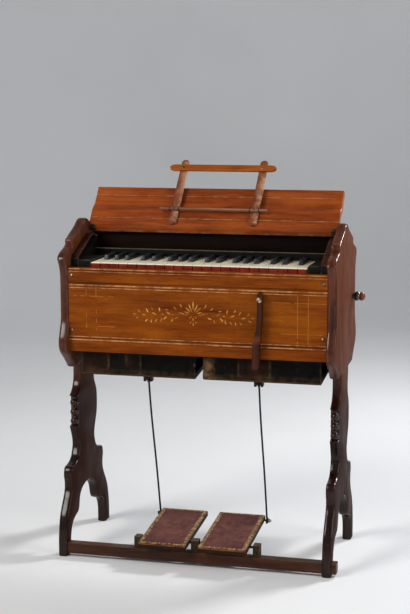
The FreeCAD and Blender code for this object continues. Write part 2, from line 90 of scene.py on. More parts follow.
class Paint:
    """A material whose shader inputs are worked out by nodes. Colours are given out of 255."""

    def __init__(self, name, metallic=0.0, roughness=0.5, coat=0.0, specular=0.5, coat_roughness=0.18):
        self.material = bpy.data.materials.new(name)
        self.material.use_nodes = True
        self.tree = self.material.node_tree
        self.tree.nodes.clear()
        self.shader = self.node("BsdfPrincipled", **{
            "Metallic": metallic, "Roughness": roughness, "Coat Weight": coat,
            "Coat Roughness": coat_roughness, "Specular IOR Level": specular})
        self.node("OutputMaterial", Surface=self.shader.outputs[0])
        self.place = self.node("TexCoord").outputs["Object"]
        self.facing = None

    def feed(self, socket, value):
        """Links an output to a socket, or sets the socket to a number or a colour."""
        if isinstance(value, bpy.types.NodeSocket):
            self.tree.links.new(value, socket)
        else:
            socket.default_value = srgb(*value) if isinstance(value, tuple) else value

    def node(self, kind, **inputs):
        made = self.tree.nodes.new("ShaderNode" + kind)
        for name, value in inputs.items():
            self.feed(made.inputs[name], value)
        return made

    def texture(self, kind, stretch, **inputs):
        """A texture of the object's own coordinates, multiplied by stretch."""
        mapping = self.node("Mapping", Vector=self.place)
        mapping.inputs["Scale"].default_value = stretch
        return self.node(kind, Vector=mapping.outputs[0], **inputs)

    def noise(self, scale, stretch=(1, 1, 1), detail=4, rough=0.55, distortion=0.0):
        return self.texture("TexNoise", stretch, Scale=scale, Detail=detail, Roughness=rough,
                            Distortion=distortion).outputs["Fac"]

    def cells(self, scale, stretch):
        return self.texture("TexVoronoi", stretch, Scale=scale).outputs["Distance"]

    def ramp(self, value, *stops):
        node = self.node("ValToRGB", Fac=value)
        points = node.color_ramp.elements
        while len(points) < len(stops):
            points.new(0.5)
        for point, (place, colour) in zip(points, stops):
            point.position = place
            point.color = srgb(*colour)
        return node.outputs["Color"]

    def span(self, value, low, high, start=0.0, end=1.0):
        """Maps value from low..high to start..end, held at both ends."""
        return self.node("MapRange", **{"Value": value, "From Min": low, "From Max": high,
                                        "To Min": start, "To Max": end}).outputs["Result"]

    def math(self, first, second, operation="MULTIPLY"):
        node = self.node("Math")
        node.operation = operation
        self.feed(node.inputs[0], first)
        self.feed(node.inputs[1], second)
        return node.outputs[0]

    def mix(self, share, first, second, blend="MIX"):
        node = self.node("Mix")
        node.data_type = "RGBA"
        node.blend_type = blend
        for socket, value in ((0, share), (6, first), (7, second)):
            self.feed(node.inputs[socket], value)
        return node.outputs[2]

    def attribute(self, name):
        node = self.node("Attribute")
        node.attribute_name = name
        return node.outputs["Fac"]

    def height(self, vector=None):
        """The upward part of a vector, or how high a point is above the floor."""
        return self.node("SeparateXYZ", Vector=vector or self.place).outputs["Z"]

    def upward(self):
        """High on faces that look up."""
        return self.span(self.height(self.node("NewGeometry").outputs["Normal"]), 0.5, 1.0)

    def edges(self, low, high):
        """High on outer edges, from the curvature of the mesh."""
        return self.span(self.node("NewGeometry").outputs["Pointiness"], low, high)

    def bump(self, height, strength, distance):
        below = {} if self.facing is None else {"Normal": self.facing}
        node = self.node("Bump", Strength=strength, Distance=distance, Height=height, **below)
        self.facing = node.outputs["Normal"]
        self.feed(self.shader.inputs["Normal"], self.facing)

    def done(self, colour, roughness=None):
        self.feed(self.shader.inputs["Base Color"], colour)
        if roughness is not None:
            self.feed(self.shader.inputs["Roughness"], roughness)
        return self.material


# How much finer wood is across its grain than along it
ACROSS = {"X": (1, 12, 12), "Y": (12, 1, 12), "Z": (12, 12, 1)}
# Painted shade: the tint that the wood is multiplied by near the floor
SHADE_TINT = (118, 104, 98)
GREY_BROWN = (132, 104, 78)


def wood(name, dark, mid, light, grain="X", gloss=0.32, coat=0.25, patch=None, patch_share=0.5,
         worn=None, wear_and_highlight=0.0, dust=None, dust_share=0.0, pores=0.5, painted_shade=None, shine=0.12):
    """Varnished or bare wood: figure along the grain, pores, patches, worn edges and dust, and painted shade
    that darkens it towards the floor.
    """
    paint = Paint(name, coat=coat, specular=shine, coat_roughness=0.16)
    stretch = ACROSS[grain]
    figure = paint.noise(5.0, stretch, detail=5, rough=0.6, distortion=0.5)
    streaks = paint.noise(19.0, tuple(s if s == 1 else s * 1.6 for s in stretch), detail=7, rough=0.68)
    tone = paint.math(paint.math(figure, 0.6), paint.math(streaks, 0.4), "ADD")
    colour = paint.ramp(tone, (0.34, dark), (0.5, mid), (0.66, light))
    if patch:
        cloud = paint.noise(4.5, tuple(1 if s == 1 else 2.6 for s in stretch), detail=3)
        share = paint.math(paint.span(cloud, 0.45, 0.68), patch_share)
        colour = paint.mix(share, colour, patch)
    fine = paint.noise(70.0, tuple(s if s == 1 else s * 2.2 for s in stretch), detail=3)
    pore = paint.span(fine, 0.36, 0.46, 1.0, 0.0)
    colour = paint.mix(paint.math(pore, pores), colour, dark)
    if worn:
        rubbed = paint.noise(38.0, detail=5, rough=0.7)
        share = paint.math(paint.attribute("wear_and_highlight"), paint.span(rubbed, 0.42, 0.6, 0.15, 1.0))
        colour = paint.mix(paint.math(share, wear_and_highlight), colour, worn)
    if dust:
        layer = paint.span(paint.noise(24.0, detail=6), 0.3, 0.7, 0.4, 1.0)
        settled = paint.math(paint.upward(), layer)
        colour = paint.mix(paint.math(settled, dust_share), colour, dust)
    # Painted shade: darker below the given heights, towards the floor
    if painted_shade:
        colour = paint.mix(paint.span(paint.height(), *painted_shade), colour, SHADE_TINT, "MULTIPLY")
    smear = paint.noise(14.0, detail=5)
    paint.bump(figure, 0.12, 0.0008)
    paint.bump(fine, 0.25, 0.0003)
    return paint.done(colour, paint.span(smear, 0.3, 0.7, gloss - 0.07, gloss + 0.14))


def metal(name, colour, tarnish, roughness, metallic=1.0):
    paint = Paint(name, metallic=metallic)
    spots = paint.noise(120.0, detail=6, rough=0.65)
    tone = paint.mix(paint.span(spots, 0.4, 0.62), colour, tarnish)
    paint.bump(spots, 0.25, 0.0004)
    return paint.done(tone, paint.span(spots, 0.3, 0.7, roughness - 0.1, roughness + 0.15))


def make_materials():
    made = {
        # The worn colour of the panel and the lid is partly a painted highlight on their beads.
        "panel": wood("panel_wood", (74, 28, 2), (117, 53, 5), (146, 74, 9), "X", 0.34, 0.05,
            (160, 86, 11), 0.5, (190, 138, 88), 0.95, shine=0.06),
        "lid": wood("lid_wood", (94, 36, 10), (134, 58, 18), (164, 80, 30), "X", 0.3, 0.12,
            (178, 88, 26), 0.7, (168, 124, 88), 0.7),
        # The end boards are darkened towards the floor: painted shade on the legs.
        "end": wood("end_edge_wood", (30, 12, 7), (64, 28, 14), (92, 44, 22), "Z", 0.22, 0.5,
            (108, 50, 18), 0.5, (140, 82, 52), 0.5, painted_shade=(0.5, 0.38, 0.0, 1.0), shine=0.04),
        # The beads are kept near black: painted shade, like the shaded legs.
        "bead": wood("bead_wood", (18, 7, 4), (38, 16, 9), (58, 26, 14), "Z", 0.2, 0.55, shine=0.05),
        "end_flat": wood("end_wood", (52, 24, 13), (86, 46, 29), (110, 66, 46), "Z", 0.5, 0.0,
            (110, 56, 28), 0.4, painted_shade=(0.5, 0.36, 0.0, 0.95), shine=0.03),
        # The case boards are near black: painted shade of the dark space under the lid.
        "case": wood("case_wood", (9, 4, 3), (18, 7, 4), (30, 12, 7), "X", 0.5, 0.0,
            None, 0.0, GREY_BROWN, 0.15, (84, 70, 56), 0.1, shine=0.06),
        "rail": wood("rail_wood", (34, 18, 11), (60, 35, 23), (84, 53, 36), "X", 0.42, 0.04,
            (92, 48, 26), 0.4, (156, 108, 70), 0.9, (112, 88, 66), 0.3),
        "cleat": wood("cleat_wood", (28, 22, 15), (48, 39, 27), (72, 59, 40), "Y", 0.65, 0.0,
            None, 0.0, (158, 136, 100), 0.9, (104, 94, 76), 0.5),
        "rack": wood("rack_wood", (104, 44, 10), (152, 74, 16), (180, 98, 28), "X", 0.34, 0.12,
            (192, 100, 18), 0.5, (166, 92, 50), 0.8),
        "ledge": wood("ledge_wood", (104, 66, 44), (150, 104, 76), (178, 136, 104), "X", 0.5, 0.05,
            None, 0.0, (186, 152, 120), 0.8),
        "upright": wood("upright_wood", (78, 34, 14), (116, 56, 28), (140, 78, 46), "Z", 0.36, 0.06,
            (126, 96, 72), 0.6, (196, 150, 122), 1.0),
        "lever": wood("lever_wood", (24, 10, 6), (52, 25, 14), (78, 42, 26), "Z", 0.24, 0.2,
            (92, 44, 16), 0.4, (150, 78, 44), 0.9, shine=0.05),
        "knob": wood("knob_wood", (84, 36, 20), (124, 60, 36), (148, 82, 52), "X", 0.2, 0.4),
        "black": wood("black_wood", (6, 6, 5), (13, 13, 11), (22, 20, 17), "X", 0.36, 0.04,
            None, 0.0, (110, 102, 80), 0.9, (58, 54, 40), 0.3, 0.3),
        "olive": wood("dusty_edge", (50, 47, 34), (82, 77, 58), (108, 100, 78), "X", 0.55, 0.0,
            None, 0.0, (128, 118, 94), 0.8),
        "block": wood("block_wood", (8, 7, 6), (16, 15, 13), (28, 25, 21), "Y", 0.34, 0.06,
            None, 0.0, (140, 124, 98), 1.0, (52, 47, 38), 0.25, 0.3),
        "pine": wood("pine_wood", (92, 64, 36), (128, 96, 60), (156, 124, 82), "Y", 0.7, 0.0,
            None, 0.0, (170, 142, 104), 0.5, (96, 86, 72), 0.5),
        "feeder": wood("feeder_wood", (30, 18, 10), (56, 34, 20), (84, 53, 32), "X", 0.7, 0.0,
            (100, 58, 30), 0.4, (134, 106, 76), 0.8, (72, 62, 48), 0.4),
        # Dark, partly its own dark wood and partly painted shade on the board's sides under the carpet.
        "tread": wood("tread_wood", (20, 11, 6), (38, 22, 13), (56, 34, 20), "X", 0.6, 0.0,
            (70, 38, 16), 0.4, (172, 106, 42), 0.95, (92, 72, 52), 0.3),
        "inlay": wood("inlay_wood", (160, 98, 26), (184, 118, 38), (200, 138, 52), "X", 0.4, 0.04),
        "iron": metal("rod_iron", (20, 19, 20), (10, 9, 9), 0.55, 0.4),
        "screw": metal("screw_steel", (176, 150, 120), (84, 62, 44), 0.4),
        "brass": metal("nail_brass", (214, 186, 134), (128, 100, 62), 0.34, 0.9),
        "nut": metal("nut_steel", (176, 176, 172), (120, 116, 108), 0.4),
        "bracket": metal("bracket_iron", (84, 80, 58), (38, 32, 24), 0.5, 0.7),
    }
    for key, make in (("leather", leather), ("carpet", carpet), ("gimp", gimp), ("gold", gold),
                      ("cream", cream), ("red", red_front), ("sharp", black_key), ("ferrule", ferrule)):
        made[key] = make()
    return made


def leather():
    """Old bellows leather: dark olive grey, with browner patches, creases and rubbed folds. Its colours are
    kept very dark, partly as painted shade under the panel, and it is darker still towards the case floor as
    painted shade.
    """
    paint = Paint("bellows_leather", roughness=0.7, specular=0.06)
    cloud = paint.noise(9.0, (1.6, 1, 1), detail=6)
    grey = paint.ramp(cloud, (0.34, (5, 4, 3)), (0.5, (10, 8, 6)), (0.68, (24, 19, 14)))
    brown = paint.ramp(cloud, (0.34, (17, 9, 5)), (0.5, (33, 18, 10)), (0.68, (62, 37, 22)))
    blotches = paint.span(paint.noise(30.0, detail=4), 0.3, 0.6, 0.5, 1)
    colour = paint.mix(paint.math(paint.attribute("brown"), blotches), grey, brown)
    creases = paint.cells(110.0, (1, 1, 1.8))
    # The creases are darkened: painted shade in them.
    colour = paint.mix(paint.span(creases, 0.02, 0.16, 0.5, 0.0), colour, (14, 12, 11))
    rubbed = paint.math(paint.edges(0.51, 0.6), 0.25)
    colour = paint.mix(rubbed, colour, (122, 98, 72))
    scuffed = paint.math(paint.attribute("wear_and_highlight"), paint.span(paint.noise(45.0, detail=6), 0.4, 0.62))
    colour = paint.mix(scuffed, colour, (120, 92, 64))
    # Painted shade: darker towards the case floor, under the panel.
    shade_under_panel = paint.math(paint.span(paint.attribute("share"), 0.0, 0.5, 1.0, 0.0), 0.75)
    colour = paint.mix(shade_under_panel, colour, (18, 13, 10), "MULTIPLY")
    paint.bump(creases, 0.45, 0.0006)
    paint.bump(paint.noise(60.0, detail=5), 0.5, 0.0014)
    return paint.done(colour, paint.span(cloud, 0.3, 0.7, 0.5, 0.8))


def carpet():
    """Worn red treadle carpet with a short pile, faded where the feet go."""
    paint = Paint("treadle_carpet", roughness=0.95, specular=0.08)
    paint.shader.inputs["Sheen Weight"].default_value = 0.08
    paint.shader.inputs["Sheen Roughness"].default_value = 0.5
    cloud = paint.noise(16.0, detail=5)
    pile = paint.noise(900.0, detail=2)
    colour = paint.ramp(cloud, (0.32, (66, 25, 22)), (0.5, (84, 37, 32)), (0.68, (100, 54, 46)))
    colour = paint.mix(paint.span(pile, 0.4, 0.62, 0.0, 0.45), colour, (58, 20, 18))
    faded = paint.math(paint.attribute("wear_and_highlight"), paint.span(paint.noise(60.0), 0.35, 0.6))
    colour = paint.mix(paint.math(faded, 0.35), colour, (140, 92, 78))
    paint.bump(pile, 0.8, 0.0008)
    paint.bump(cloud, 0.3, 0.002)
    return paint.done(colour)


def gimp():
    """The frayed tan strip under the nails."""
    paint = Paint("treadle_gimp", roughness=0.9, specular=0.1)
    cloud = paint.noise(70.0, detail=4)
    weave = paint.noise(700.0, detail=2)
    colour = paint.ramp(cloud, (0.34, (96, 62, 46)), (0.5, (142, 110, 82)), (0.66, (182, 156, 120)))
    colour = paint.mix(paint.span(weave, 0.42, 0.6, 0.0, 0.5), colour, (68, 42, 32))
    paint.bump(weave, 0.8, 0.0006)
    return paint.done(colour)


def gold():
    """Rubbed gold leaf that lets the wood through."""
    paint = Paint("gold_leaf", metallic=0.2, roughness=0.45, specular=0.3)
    cloud = paint.noise(60.0, detail=5, rough=0.7)
    colour = paint.ramp(cloud, (0.34, (132, 74, 12)), (0.5, (182, 122, 36)), (0.66, (216, 170, 84)))
    paint.bump(cloud, 0.2, 0.0002)
    return paint.done(colour)


def cream():
    """Key tops of old ivory substitute, with a faint grain along the key."""
    paint = Paint("key_cream", roughness=0.3, coat=0.12, specular=0.3)
    grain = paint.noise(40.0, (9, 1, 9), detail=4)
    yellowed = paint.noise(7.0, detail=3)
    colour = paint.ramp(grain, (0.3, (246, 236, 204)), (0.7, (255, 250, 230)))
    colour = paint.mix(paint.span(yellowed, 0.42, 0.72, 0.0, 0.4), colour, (234, 214, 168))
    paint.bump(grain, 0.08, 0.0002)
    return paint.done(colour, paint.span(yellowed, 0.3, 0.7, 0.24, 0.42))


def red_front():
    paint = Paint("key_red", roughness=0.6, specular=0.15)
    cloud = paint.noise(30.0, detail=5)
    colour = paint.ramp(cloud, (0.32, (88, 18, 9)), (0.52, (130, 32, 17)), (0.7, (150, 50, 28)))
    paint.bump(paint.noise(300.0, detail=3), 0.4, 0.0003)
    return paint.done(colour)


def black_key():
    paint = Paint("key_black", roughness=0.3, coat=0.08, specular=0.3)
    grain = paint.noise(50.0, (8, 1, 8), detail=4)
    colour = paint.ramp(grain, (0.35, (10, 10, 12)), (0.7, (24, 24, 29)))
    # The rounded edges are lightened to a bluish grey: partly rubbed, partly a painted highlight.
    rubbed = paint.math(paint.attribute("wear_and_highlight"), 0.4)
    colour = paint.mix(rubbed, colour, (74, 76, 88))
    paint.bump(grain, 0.1, 0.0002)
    return paint.done(colour, paint.span(grain, 0.3, 0.7, 0.3, 0.45))


def ferrule():
    paint = Paint("knob_black", roughness=0.14, coat=0.6)
    cloud = paint.noise(40.0, detail=4)
    colour = paint.ramp(cloud, (0.35, (14, 11, 10)), (0.7, (32, 24, 20)))
    paint.bump(cloud, 0.1, 0.0003)
    return paint.done(colour, paint.span(cloud, 0.3, 0.7, 0.1, 0.24))


# Mesh work

def piece(name, made, materials, body, replaced=None):
    """Makes an object of a mesh, with sharp edges kept crisp, and lets it ride on its body."""
    for edge in made.edges:
        edge.smooth = len(edge.link_faces) == 2 and edge.calc_face_angle() < SHARP_EDGE
    for face in made.faces:
        face.smooth = True
    mesh = bpy.data.meshes.new(name)
    made.to_mesh(mesh)
    made.free()
    for key in materials.split():
        mesh.materials.append(MATERIALS[key])
    made = bpy.data.objects.new(name, mesh)
    bpy.context.scene.collection.objects.link(made)
    if body:
        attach(made, body)
    if replaced:
        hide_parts(replaced)
    return made


def welded(node):
    """A copy of a node's mesh with its vertices joined and its flat faces whole."""
    made = bmesh.new()
    made.from_mesh(NODES[node].data)
    bmesh.ops.remove_doubles(made, verts=made.verts, dist=2e-6)
    bmesh.ops.dissolve_limit(made, angle_limit=radians(0.6), verts=made.verts, edges=made.edges)
    return made


def soften(made, width, segments=3):
    """Rounds every clear edge, and stores the rounded parts as worn."""
    layer = made.verts.layers.float.new("wear_and_highlight")
    edges = [e for e in made.edges if len(e.link_faces) == 2 and e.calc_face_angle() > SOFT_EDGE]
    result = bmesh.ops.bevel(made, geom=edges, offset=width * MM, segments=segments, profile=0.6,
                             affect="EDGES", clamp_overlap=True)
    rounded = set(result["faces"])
    for vertex in made.verts:
        vertex[layer] = 1.0 if all(face in rounded for face in vertex.link_faces) else 0.0


def mark(made, rule):
    """Gives each face one of the piece's materials, by a rule that gets the face and its middle."""
    for face in made.faces:
        face.material_index = rule(face, face.calc_center_median())


def dressed(node, materials, width, segments):
    """A node of the case in its own shape, with rounded edges."""
    made = welded(node)
    soften(made, width, segments)
    piece(node + "_dressed", made, materials, "case", node)


def outline_at(node, axis, value):
    """The longest outline, anticlockwise, of a node's flat faces at one value along an axis."""
    made = bmesh.new()
    made.from_mesh(NODES[node].data)
    bmesh.ops.remove_doubles(made, verts=made.verts, dist=2e-6)
    made.edges.index_update()
    faces = {f for f in made.faces if all(abs(v.co[axis] - value) < 2e-5 for v in f.verts)}
    edges = {e for f in faces for e in f.edges if sum(g in faces for g in e.link_faces) == 1}
    loops = []
    while edges:
        edge = min(edges, key=lambda e: e.index)
        edges.remove(edge)
        start, here = edge.verts
        loop = [start, here]
        while here is not start:
            following = next((e for e in here.link_edges if e in edges), None)
            if following is None:
                break
            edges.remove(following)
            here = following.other_vert(here)
            loop.append(here)
        loops.append([v.co.copy() for v in loop[:-1]])
    made.free()
    kept = [i for i in range(3) if i != axis]
    outline = [(p[kept[0]], p[kept[1]]) for p in max(loops, key=len)]
    return outline if signed_area(outline) > 0 else outline[::-1]


def signed_area(points):
    """Area of a closed run of 2D points, positive when they go anticlockwise."""
    return sum(a[0] * b[1] - b[0] * a[1] for a, b in zip(points, points[1:] + points[:1])) / 2


def inward(points):
    """For each point of an anticlockwise outline, the step that moves its edges in by one."""
    steps = []
    count = len(points)
    for i in range(count):
        before, here, after = points[i - 1], points[i], points[(i + 1) % count]
        first = Vector((here[0] - before[0], here[1] - before[1])).normalized()
        second = Vector((after[0] - here[0], after[1] - here[1])).normalized()
        normals = Vector((-first.y, first.x)), Vector((-second.y, second.x))
        middle = (normals[0] + normals[1]).normalized()
        steps.append(middle / max(0.45, middle.dot(normals[0])))
    return steps


def bridge(made, rings):
    """Faces between closed rings of equal length."""
    rows = [[made.verts.new(p) for p in ring] for ring in rings]
    for low, high in zip(rows, rows[1:]):
        count = len(low)
        for i in range(count):
            made.faces.new((low[i], low[(i + 1) % count], high[(i + 1) % count], high[i]))
    return rows


def cap(made, row):
    """Fills a closed ring, also one that isn't convex."""
    edges = [made.edges.get((row[i - 1], row[i])) for i in range(len(row))]
    bmesh.ops.triangle_fill(made, use_beauty=True, edges=edges)


def full_turn(count):
    """Angles all the way round."""
    return [2 * pi * i / count for i in range(count)]


def closed(made, rings):
    """A closed form through rings of equal length."""
    rows = bridge(made, rings)
    cap(made, rows[0])
    cap(made, rows[-1])
    bmesh.ops.recalc_face_normals(made, faces=made.faces)
    return rows


def thick_outline(made, outline, stations, place, wear_and_highlight=None):
    """A slab with a shaped edge. Stations are (distance through, inset); place makes the 3D point.
    wear, if it is given, says how worn each station is."""
    if wear_and_highlight:
        layer = made.verts.layers.float.get("wear_and_highlight") or made.verts.layers.float.new("wear_and_highlight")
    steps = inward(outline)
    rows = closed(made, [[place(p[0] + s.x * inset, p[1] + s.y * inset, through)
                          for p, s in zip(outline, steps)] for through, inset in stations])
    if wear_and_highlight:
        for row, amount in zip(rows, wear_and_highlight):
            for vertex in row:
                vertex[layer] = amount


def turned(made, profile, start, way, segments=32):
    """A lathe form: profile is (distance along, radius) in millimetres, from start along way."""
    way = Vector(way).normalized()
    side = way.orthogonal().normalized()
    other = way.cross(side)
    spokes = [side * cos(a) + other * sin(a) for a in full_turn(segments)]
    closed(made, [[start + (way * along + out * max(radius, 0.02)) * MM for out in spokes]
                  for along, radius in profile])


def tube(made, points, radius, segments):
    """A round bar along 3D points, in metres, with its radius in millimetres."""
    rings = []
    for i, point in enumerate(points):
        way = (points[min(i + 1, len(points) - 1)] - points[max(i - 1, 0)]).normalized()
        side = Vector((1, 0, 0)) if abs(way.x) < 0.8 else Vector((0, 1, 0))
        side = (side - way * side.dot(way)).normalized()
        other = way.cross(side)
        rings.append([point + (side * cos(a) + other * sin(a)) * radius * MM
                      for a in full_turn(segments)])
    closed(made, rings)


def lattice(made, rows):
    """Faces between open rows of equal length."""
    return [made.faces.new((near[i], far[i], far[i + 1], near[i + 1]))
            for near, far in zip(rows, rows[1:]) for i in range(len(near) - 1)]


def set_wear(made, rule):
    """Stores how worn each vertex is."""
    layer = made.verts.layers.float.new("wear_and_highlight")
    for vertex in made.verts:
        vertex[layer] = rule(vertex.co)


# End boards

# The roll on the edge of an end board, as (distance through, inset)
EDGE_ROLL = [(0.0, 2.2), (0.35, 1.5), (0.9, 1.15), (1.5, 1.5), (2.1, 1.1), (3.3, 0.5), (5.2, 0.12),
             (8.0, 0.0), (11.0, 0.0)]
BEAD_HEIGHTS = (369.0, 345.0, 321.5)
BEAD_AXIS_Y = 102.5
BEAD_RADIUS = 10.5


def end_board(side):
    """A plank with a roll worked on its edge, and the three carved beads on the leg."""
    node = side + "_end_board"
    low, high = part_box(node)
    sign = -1 if side == "left" else 1
    inner = high.x if side == "left" else low.x
    outer = low.x if side == "left" else high.x
    outline = outline_at(node, 0, outer)
    thickness = abs(outer - inner) / MM
    stations = EDGE_ROLL + [(thickness - t, inset) for t, inset in reversed(EDGE_ROLL[:-1])]
    made = bmesh.new()
    thick_outline(made, outline, [(t * MM, i * MM) for t, i in stations],
                  lambda y, z, through: Vector((inner + sign * through, y, z)),
                  [0.5 if 0.1 < i < 0.6 else 0.0 for t, i in stations])
    mark(made, lambda face, middle: int(abs(face.normal.x) > 0.999))
    piece(node + "_moulded", made, "end end_flat", "case", node)
    beads(side, (inner + outer) / 2)


def beads(side, middle):
    """Three turned beads on a thin round stem, down the front of a leg; the carved leaves round them are not
    made.
    """
    made = bmesh.new()
    top, bottom = BEAD_HEIGHTS[0] + 15, BEAD_HEIGHTS[2] - 12
    profile = []
    for z in spread(top, bottom, 61):
        radius = 4.5
        for centre in BEAD_HEIGHTS:
            if abs(z - centre) < BEAD_RADIUS:
                radius = max(radius, sqrt(BEAD_RADIUS ** 2 - (z - centre) ** 2))
        profile.append((top - z, radius))
    start = Vector((middle, at(0, BEAD_AXIS_Y, 0).y, at(0, 0, top).z))
    turned(made, profile, start, (0, 0, -1), 24)
    piece(side + "_leg_beads", made, "bead", "case", None)


# Mouldings

def in_row(points):
    """Case (Y, Z) points, in millimetres, as row metres and anticlockwise."""
    placed = [(at(0, y, z).y, at(0, y, z).z) for y, z in points]
    return placed if signed_area(placed) > 0 else placed[::-1]


def moulding(made, points, x, ease=0.4):
    """A closed (Y, Z) profile run between two values of case X."""
    low, high = at(x[0], 0, 0).x, at(x[1], 0, 0).x
    stations = [(low, ease * MM), (low + ease * MM, 0), (high - ease * MM, 0), (high, ease * MM)]
    thick_outline(made, in_row(points), stations, lambda y, z, through: Vector((through, y, z)))


def grooved(start, end, marks, deep=1.7, half=1.25):
    """A straight run of a profile, with small grooves at the given distances from its start."""
    start, end = Vector(start), Vector(end)
    way = (end - start).normalized()
    inner = Vector((way.y, -way.x))
    points = [start]
    for mark in marks:
        for along, depth in ((-half, 0), (-half * 0.4, deep), (half * 0.4, deep), (half, 0)):
            points.append(start + way * (mark + along) + inner * depth)
    return [tuple(p) for p in points + [end]]


# Front panel

PANEL_FACE = (
    (47.2, 512), (46.3, 512.5), (46, 514), (46, 535.4), (46.5, 536.4), (47.4, 537), (47.4, 538.2),
    (46.5, 538.8), (45.7, 540.2), (45.5, 541.4), (45.8, 542.6), (46.4, 543.3), (49, 544.2), (49, 546.6),
    (46.4, 547.4), (45.8, 548.4), (45.6, 549.4), (46, 550.6), (46, 668.4), (45.6, 669.6), (45.6, 670.8),
    (46.2, 671.8), (47.4, 672.4), (47.4, 673.6), (46.2, 674.2), (45.6, 675.4), (45.5, 676.6), (45.9, 677.9),
    (46.6, 678.8), (49.6, 679.8), (49.6, 683), (46.5, 684), (46, 684.8), (46, 708.4), (45.7, 709.6),
    (46.2, 710.8), (48, 711.5), (48, 713.5), (46.3, 714.1), (45.6, 715.4), (45.8, 716.9), (46.6, 718.1),
    (48, 718.8), (49.5, 719), (62.4, 719), (63, 718.4), (63, 512))
# Heights where the panel's mouldings are lightened: partly rubbed, partly a painted highlight on the beads
PANEL_RUBBED_AND_HIGHLIT = (540.2, 541.4, 542.6, 548.4, 549.4, 669.6, 670.8, 675.4, 676.6, 677.9, 709.6, 715.4, 716.9)
# Lines and leaves lie in layers just in front of the panel
INLAY_UPRIGHT_Y, INLAY_LEVEL_Y, LEAF_Y = 45.88, 45.86, 45.84
INLAY_UPRIGHTS, INLAY_LEVELS = (249.5, 275), (576, 650)
STENCIL_X, STENCIL_Z = -5.0, 614


def front_panel():
    """The moulded panel with its inlaid lines and its gold ornament."""
    made = bmesh.new()
    moulding(made, PANEL_FACE, (-320, 320), 0.2)
    # The beads are lightened: partly wear, partly a painted highlight.
    worn = [at(0, 0, z).z for z in PANEL_RUBBED_AND_HIGHLIT]
    set_wear(made, lambda co: 1.0 if min(abs(co.z - z) for z in worn) < 0.1 * MM else 0.0)
    piece("front_panel_moulded", made, "panel", "case", "front_panel")
    inlay_lines()
    stencil()


def strip(made, x, y, z):
    """A thin flat line on the panel, between two values of X and two of Z."""
    corners = ((x[0], z[0]), (x[1], z[0]), (x[1], z[1]), (x[0], z[1]))
    made.faces.new([made.verts.new(at(px, y, pz)) for px, pz in corners])


def inlay_lines():
    """Thin light lines that cross near each end of the panel, rubbed away in places."""
    made = bmesh.new()
    chance = random.Random(2)

    def line(start, end, fixed, upright, share):
        here = start
        while here < end:
            step = min(chance.uniform(5, 14), end - here)
            if chance.random() < share:
                run, thin = (here, here + step), (fixed - 0.45, fixed + 0.45)
                strip(made, *((thin, INLAY_UPRIGHT_Y, run) if upright else (run, INLAY_LEVEL_Y, thin)))
            here += step

    for side, share in ((-1, 0.35), (1, 0.9)):
        for x in INLAY_UPRIGHTS:
            line(553, 667, side * x, True, share)
        for z in INLAY_LEVELS:
            low, high = sorted((side * 186, side * 318))
            line(low, high, z, False, share)
    piece("panel_inlay", made, "inlay", "case", None)


def leaf(made, x, z, degrees, length, width, side=1):
    """A small leaf-shaped stroke from (x, z) on the panel, mirrored where side is -1."""
    angle = radians(degrees)
    if side < 0:
        angle = pi - angle
    along = Vector((cos(angle), sin(angle)))
    across = Vector((-along.y, along.x))
    shape = ((0.0, 0.12), (0.3, 0.42), (0.62, 0.5), (0.86, 0.3), (1.0, 0.0))
    low = [along * length * t - across * width * w for t, w in shape]
    high = [along * length * t + across * width * w for t, w in shape[-2::-1]]
    made.faces.new([made.verts.new(at(x + p.x, LEAF_Y, z + p.y)) for p in low + high])


# Leaves of the scroll, as (X from the middle, Z, angle, length, width)
SCROLL = ((14, 613, 0, 7, 1.3), (22, 614, 20, 10, 2.6), (28, 630, 62, 10, 3.2), (30, 616, 12, 7, 1.3),
          (36, 607, -22, 11, 3.2), (42, 625, 40, 10, 3.2), (50, 603, -62, 10, 3.4), (46, 613, -14, 8, 1.4),
          (56, 612, 30, 13, 3.2), (62, 623, 8, 9, 2.8), (66, 607, -42, 12, 3.6), (72, 612, 10, 8, 1.4),
          (78, 603, -72, 11, 3.6), (83, 618, 80, 11, 3.4), (90, 600, -52, 10, 3.4), (92, 611, 22, 12, 3.2),
          (104, 599, -80, 9, 3.2), (100, 622, 50, 8, 2.6), (112, 615, 60, 12, 3.4), (114, 599, -45, 9, 3.0),
          (118, 608, 12, 11, 2.8), (133, 615, 52, 9, 2.8), (136, 604, -30, 9, 2.6), (142, 610, 4, 10, 2.4))


# Leaves of the palmette, as (angle, distance from its centre, length, width)
PALMETTE = ((66, 7, 21, 3.6), (42, 9, 18, 3.4), (16, 10, 13, 3.0), (-50, 6, 7, 2.2))


def stencil():
    """A gold palmette with a leafy scroll to each side, as old stencilled cases have."""
    made = bmesh.new()
    for z, degrees, length, width in ((625, 90, 22, 4.6), (606, -90, 9, 3.6), (594, -90, 8, 3.2)):
        leaf(made, STENCIL_X, z, degrees, length, width)
    for side in (-1, 1):
        for degrees, reach, length, width in PALMETTE:
            a = radians(degrees)
            leaf(made, STENCIL_X + side * reach * cos(a), STENCIL_Z + reach * sin(a),
                 degrees, length, width, side)
        for x, z, degrees, length, width in SCROLL:
            leaf(made, STENCIL_X + side * x, z, degrees, length, width, side)
        leaf(made, STENCIL_X + side * 5, 597, -55, 6, 2.2, side)
    piece("panel_stencil", made, "gold", "case", None)


def box_of(made, corners):
    """A box from eight corners, the lower four first."""
    v = [made.verts.new(c) for c in corners]
    for face in ((3, 2, 1, 0), (4, 5, 6, 7), (0, 1, 5, 4), (1, 2, 6, 5), (2, 3, 7, 6), (3, 0, 4, 7)):
        made.faces.new([v[i] for i in face])


